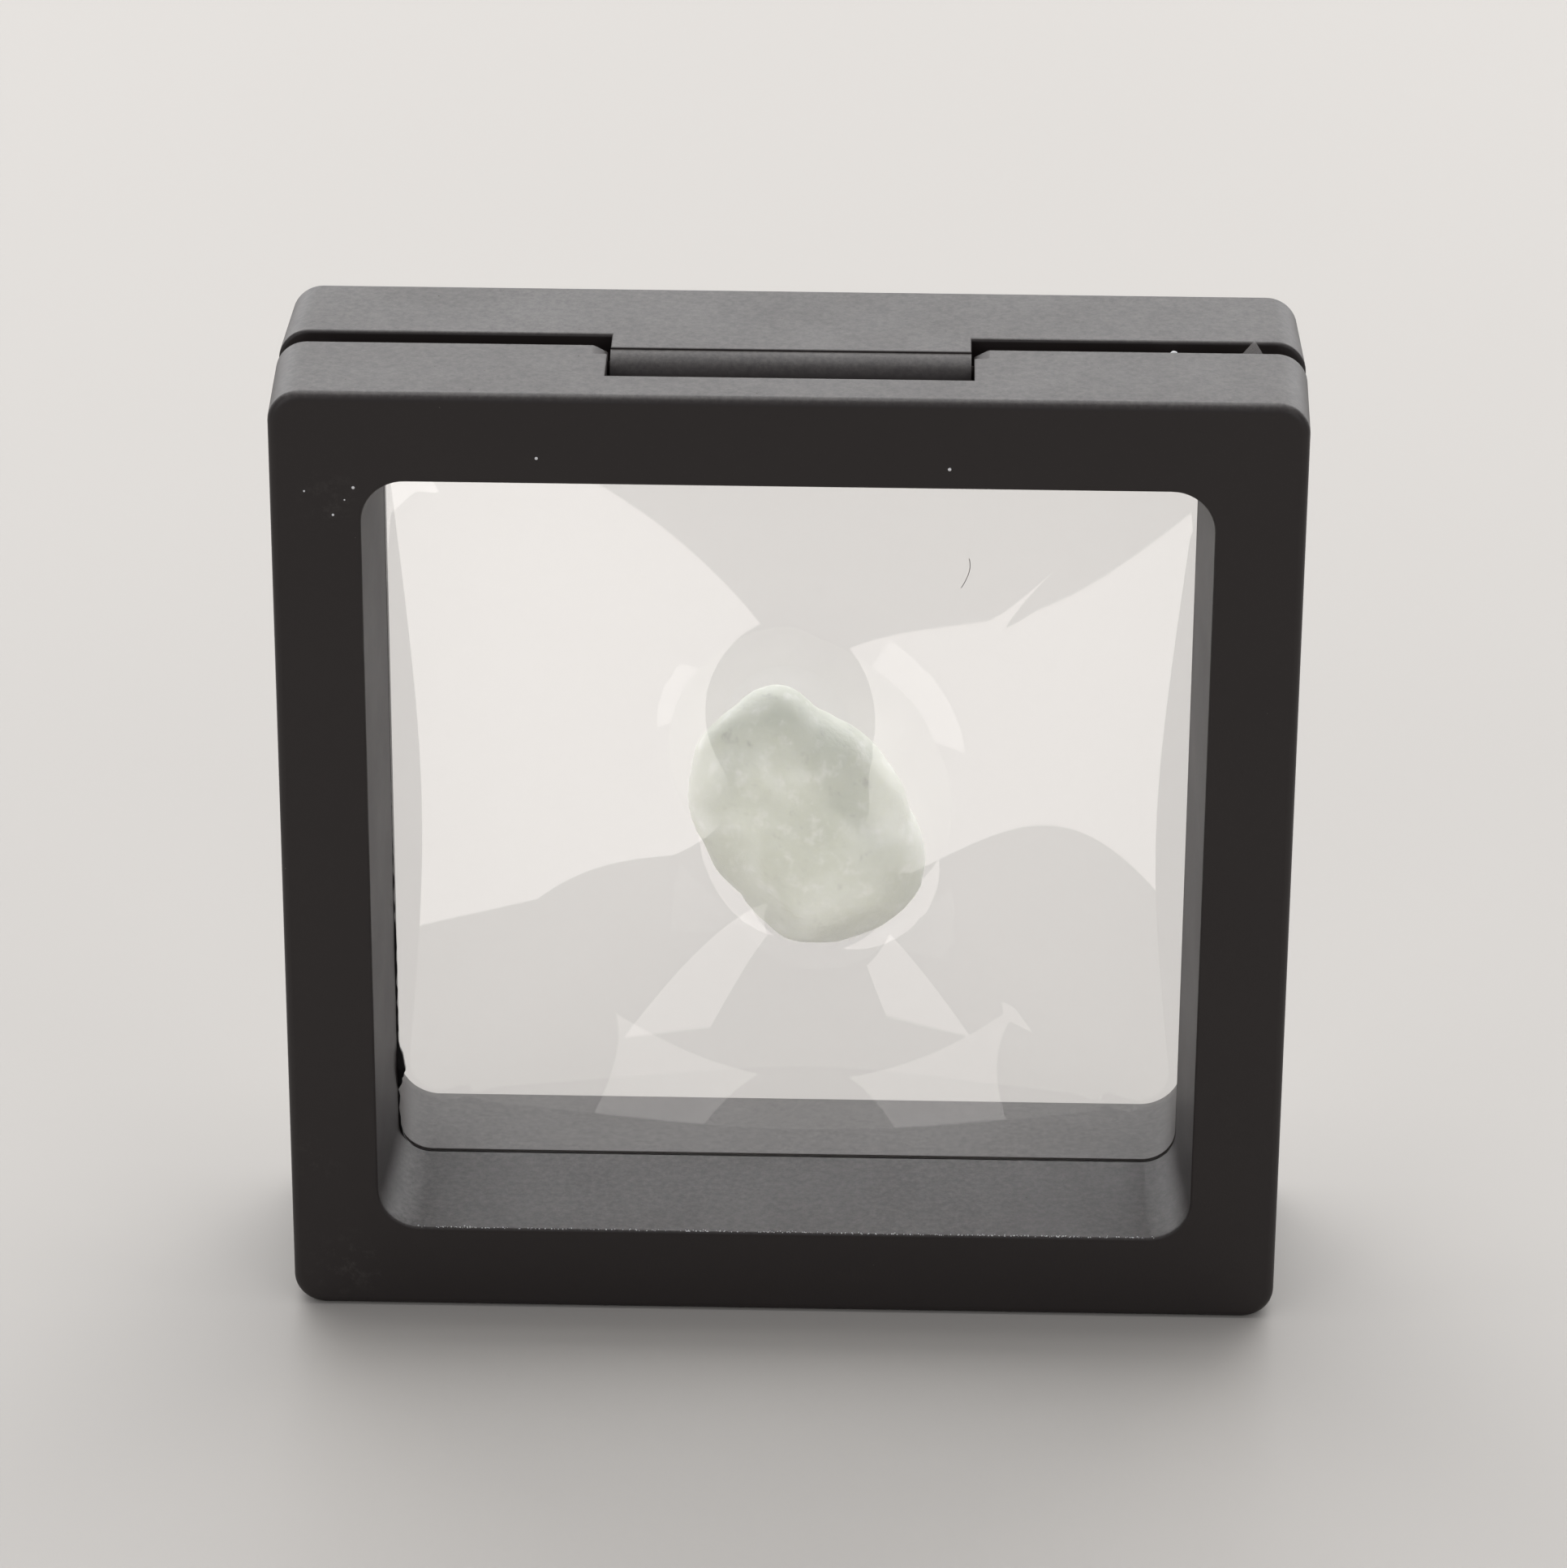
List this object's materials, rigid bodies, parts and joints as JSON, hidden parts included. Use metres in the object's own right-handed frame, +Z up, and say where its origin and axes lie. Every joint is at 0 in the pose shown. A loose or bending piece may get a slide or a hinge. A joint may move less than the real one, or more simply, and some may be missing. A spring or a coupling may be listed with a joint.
{
  "type": "specimen display case",
  "caption": "Hinged black square display frame that holds a rough crystal between two stretched clear films.",
  "frame": {"origin": "under the middle of the closed case, on the surface that it stands on", "axes": "+Z up, +X across the frame, the front half faces -Y, and the parting plane between the halves is at Y = 0"},
  "size_m": [0.07, 0.02, 0.07],
  "materials": {
    "black_moulding": "moulded ABS with a fine satin texture",
    "film_adhesive": "thin layer of black contact adhesive",
    "clear_film": "clear elastic polyurethane film, faintly hazy",
    "rough_quartz": "milky translucent quartz with a worn, frosted skin"
  },
  "bodies": {
    "front": {"front_frame": "black_moulding", "front_film_adhesive": "film_adhesive", "front_film": "clear_film", "specimen": "rough_quartz"},
    "back": {"back_frame": "black_moulding", "back_film_adhesive": "film_adhesive", "back_film": "clear_film"}
  },
  "joints": [
    {"name": "case_hinge", "type": "hinge", "parent": "front", "child": "back", "pos_m": [0, -0.00115, 0.068], "axis": [1, 0, 0], "range_deg": [0, 95]}
  ]
}
